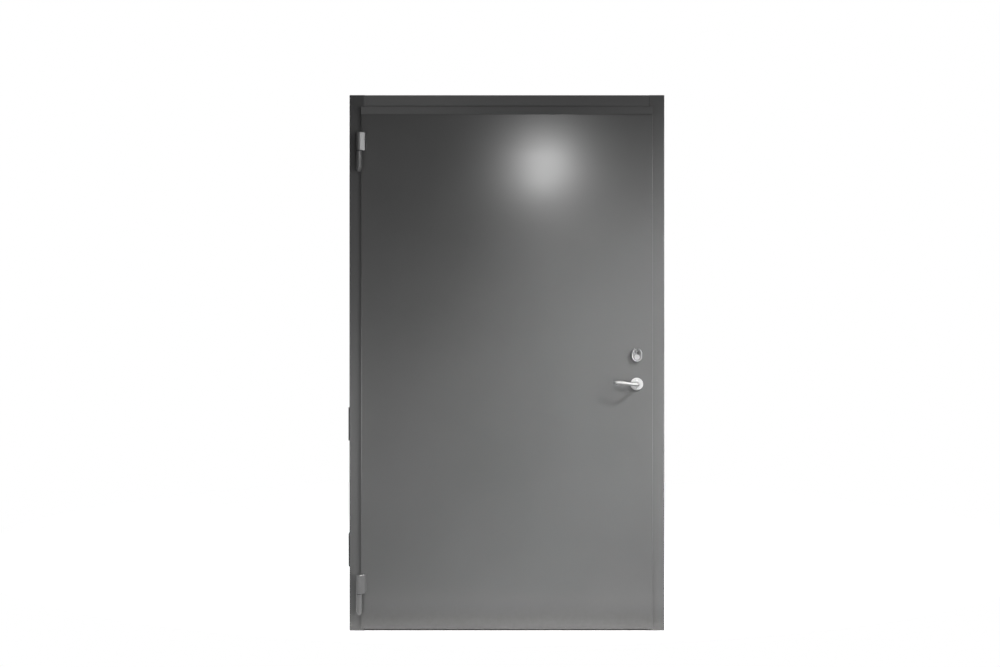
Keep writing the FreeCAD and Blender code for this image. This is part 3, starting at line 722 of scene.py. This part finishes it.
def frame_half(name):
    """The half on the frame: a barrel ending in a bullet, and a plate welded to the jamb's face."""
    low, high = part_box(name)
    top = high.z - low.z
    profile = [(KNUCKLE * math.cos(a) ** BULLET_POWER, BULLET - BULLET * math.sin(a))
               for a in radians_of(BULLET_ANGLES)]
    profile += [(KNUCKLE, BULLET + EDGE_LOOP), (KNUCKLE, top - EDGE_BREAK - EDGE_LOOP)]
    profile += [(KNUCKLE, top - EDGE_BREAK), (KNUCKLE - EDGE_BREAK, top)]
    shape = bmesh.new()
    lathe(shape, Vector((HINGE_LINE.x, HINGE_LINE.y, low.z)), UP, profile, BARREL_SIDES)
    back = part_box("hinge_jamb")[0].y
    front = HINGE_LINE.y + PLATE_FRONT
    left = HINGE_LINE.x - KNUCKLE
    right = HINGE_LINE.x - KNUCKLE + PLATE_THICK
    corners = [(left + PLATE_CORNER, front), (left, HINGE_LINE.y + PLATE_CORNER_BACK), (left, back),
               (right, back), (right, front)]
    foot = low.z + BULLET
    levels = [(PLATE_BEVEL, foot), (0, foot + PLATE_BEVEL), (0, high.z - PLATE_BEVEL), (PLATE_BEVEL, high.z)]
    rings = []
    for inset, height in levels:
        rings.append([Vector((min(max(x, left + inset / 2), right - inset / 2), y, height))
                      for x, y in corners])
    loft(shape, rings)
    piece(name + "_turned", shape, "hinge_paint", "frame", [name])
    beads = bmesh.new()
    for edge, way in ((left, -1), (right, 1)):
        weld(beads, Vector((edge, back, 0)), foot + FRAME_WELD_ROOM, high.z - FRAME_WELD_ROOM, way)
    piece(name + "_weld", beads, "hinge_paint", "frame")


for end in ("upper", "lower"):
    leaf_half(end + "_hinge_leaf_half", end)
    frame_half(end + "_hinge_frame_half")


# Inside turn and lock screws

TURN_SIDES = 48
TURN_ROOM = 0.1 * MM
EDGE_SCREW_RADIUS = 3.6 * MM
EDGE_SCREW_ROOM = 9 * MM
LOW_SCREW_TURN, HIGH_SCREW_TURN = 0.3, 1.1


def thumb_turn():
    """A turn that grows from a round stem to a flat oval wing."""
    low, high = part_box("inside_thumb_turn")
    centre = (low + high) / 2
    stem = (high.x - low.x) / 2 - TURN_ROOM
    wing = (high.z - low.z) / 2
    # Millimetres from the leaf, half width, half height, and how square the oval is.
    levels = [
        (0.2, stem, stem, 2.0),
        (8.4, stem, stem, 2.0),
        (9.6, 0.86 * stem, 1.05 * stem, 2.1),
        (11.5, 0.66 * stem, 0.72 * wing, 2.3),
        (13.5, 0.58 * stem, 0.92 * wing, 2.6),
        (16.0, 0.55 * stem, wing, 2.8),
        (19.0, 0.53 * stem, wing, 2.8),
        (20.8, 0.47 * stem, 0.97 * wing, 2.7),
        (21.7, 0.33 * stem, 0.9 * wing, 2.6),
        (22.0, 0.16 * stem, 0.8 * wing, 2.5),
    ]
    rings = []
    for out, half_wide, half_tall, power in levels:
        ring = []
        for a in full_turn(TURN_SIDES):
            c, s = math.cos(a), math.sin(a)
            u = math.copysign(abs(c) ** (2 / power), c) * half_wide
            w = math.copysign(abs(s) ** (2 / power), s) * half_tall
            ring.append(Vector((centre.x + u, INSIDE + out * MM, centre.z + w)))
        rings.append(ring)
    shape = bmesh.new()
    loft(shape, rings)
    piece("inside_thumb_turn_cast", shape, "satin_chrome", "leaf", ["inside_thumb_turn"])


def edge_screws(name, body, way):
    """Slotted screws at both ends of a plate on the lock edge or opposite it."""
    low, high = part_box(name)
    face = high.x if way.x > 0 else low.x
    middle = (low.y + high.y) / 2
    shape = bmesh.new()
    for z, turn in ((low.z + EDGE_SCREW_ROOM, LOW_SCREW_TURN), (high.z - EDGE_SCREW_ROOM, HIGH_SCREW_TURN)):
        slotted_screw(shape, Vector((face, middle, z)), way, EDGE_SCREW_RADIUS, turn)
    piece(name + "_screws", shape, "bright_steel", body)


thumb_turn()
edge_screws("lock_forend", "leaf", RIGHT)
edge_screws("strike_plate", "frame", LEFT)


# Floor, light and camera

PHOTO_WIDE, PHOTO_TALL = 1000, 667
LENS, SENSOR = 50.0, 36.0
METRES_A_PIXEL = 1.25 / 315
FRAME_MID_PIXEL = 506.9
FLOOR_PIXEL = 630.6


def camera():
    """Level, straight on, at the distance where the frame's face has the photograph's scale."""
    data = bpy.data.cameras.new("camera")
    data.lens = LENS
    data.sensor_width = SENSOR
    made = bpy.data.objects.new("camera", data)
    away = METRES_A_PIXEL * PHOTO_WIDE * LENS / SENSOR
    made.location = (
        (PHOTO_WIDE / 2 - FRAME_MID_PIXEL) * METRES_A_PIXEL,
        -away,
        (FLOOR_PIXEL - PHOTO_TALL / 2) * METRES_A_PIXEL,
    )
    made.rotation_euler = (math.radians(90), 0, 0)
    bpy.context.scene.collection.objects.link(made)
    bpy.context.scene.camera = made


# Name, place, target, size, power in watts and spread in degrees. The lamp and the spot show in the
# paint, the glint is for the hinges, and the rest are soft lights from the right, the left and behind.
LIGHTS = [
    ("lamp", (0.241, -2.8, 2.18), (0.15, 0, 1.2), (0.12, 0.16), 8.4, 180),
    ("spot", (0.241, -2.8, 2.36), (0.5, 0, 0.7), (0.12, 0.16), 1.6, 36),
    ("key", (3.22, -2.37, 4.08), (0.45, 0, 0.55), (0.6, 0.6), 7.2, 30),
    ("beam", (3.2, -2.4, 2.4), (0.58, 0, 1.45), (0.8, 0.8), 1.15, 14),
    ("wide", (2.6, -2.6, 1.9), (0.3, 0, 0.9), (2.0, 1.6), 4.6, 100),
    ("left", (-2.0, -2.8, 0.6), (-0.3, 0, 0.2), (1.8, 1.2), 11.0, 80),
    ("low", (2.2, -3.0, 0.5), (0.4, 0, 0.3), (1.6, 0.8), 8.5, 60),
    ("glint", (1.464, -1.612, 2.296), (-0.574, -0.037, 1.94), (0.5, 0.5), 0.074, 16),
    ("back", (-1.6, 3.2, 3.0), (0, 0, 1.0), (2.0, 2.0), 40.0, 120),
]


def area_light(name, place, target, size, power, spread):
    data = bpy.data.lights.new(name, "AREA")
    data.shape = "ELLIPSE"
    data.size, data.size_y = size
    data.energy = power
    data.spread = math.radians(spread)
    made = bpy.data.objects.new(name, data)
    made.location = place
    made.rotation_mode = "QUATERNION"
    made.rotation_quaternion = (Vector(target) - Vector(place)).to_track_quat("-Z", "Y")
    bpy.context.scene.collection.objects.link(made)


CEILING_START, CEILING_END = 0.55, 0.95
ROOM_LOW, ROOM_HIGH = 0.0, 0.05


def room():
    """White where the camera looks past the object; otherwise a dim room under a brighter ceiling."""
    world = bpy.data.worlds.new("room")
    bpy.context.scene.world = world
    world.use_nodes = True
    tree = world.node_tree
    link = tree.links.new
    split = add_node(tree, "ShaderNodeSeparateXYZ")
    link(add_node(tree, "ShaderNodeTexCoord").outputs["Generated"], split.inputs["Vector"])
    rise = add_node(tree, "ShaderNodeMapRange", interpolation_type="SMOOTHSTEP")
    set_range(rise, (CEILING_START, CEILING_END, ROOM_LOW, ROOM_HIGH))
    link(split.outputs["Z"], rise.inputs["Value"])
    dim = tree.nodes["Background"]
    dim.inputs["Color"].default_value = WHITE
    link(rise.outputs["Result"], dim.inputs["Strength"])
    shown = add_node(tree, "ShaderNodeBackground")
    shown.inputs["Color"].default_value = WHITE
    blend = add_node(tree, "ShaderNodeMixShader")
    link(add_node(tree, "ShaderNodeLightPath").outputs["Is Camera Ray"], blend.inputs["Fac"])
    link(dim.outputs["Background"], blend.inputs[1])
    link(shown.outputs["Background"], blend.inputs[2])
    link(blend.outputs["Shader"], tree.nodes["World Output"].inputs["Surface"])


FLOOR_GLOW = 0.98
FLOOR_FRONT = -0.25
FLOOR_RADIUS = 3.0
FLOOR_SIDES = 96
FLOOR_DROP = 0.5 * MM
FLOOR_DARK, FLOOR_LIGHT = 0.7, 0.75


def floor():
    """A pale round floor, mostly behind the door, that glows as a brightly lit one does."""
    shape = bmesh.new()
    bmesh.ops.create_circle(shape, cap_ends=True, radius=FLOOR_RADIUS, segments=FLOOR_SIDES)
    data = bpy.data.meshes.new("floor")
    shape.to_mesh(data)
    shape.free()
    made = bpy.data.objects.new("floor", data)
    made.location = (0, FLOOR_FRONT + FLOOR_RADIUS, CAD_BOX[0].z - FLOOR_DROP)
    bpy.context.scene.collection.objects.link(made)
    finish = Finish("floor_pale", 0.6)
    finish.shader.inputs["Emission Color"].default_value = WHITE
    finish.shader.inputs["Emission Strength"].default_value = FLOOR_GLOW
    finish.colour(finish.mix(finish.noise(3.0), grey(FLOOR_DARK), grey(FLOOR_LIGHT)))
    data.materials.append(finish.made)


camera()
for light in LIGHTS:
    area_light(*light)
room()
floor()
bpy.context.scene.view_settings.view_transform = "Standard"
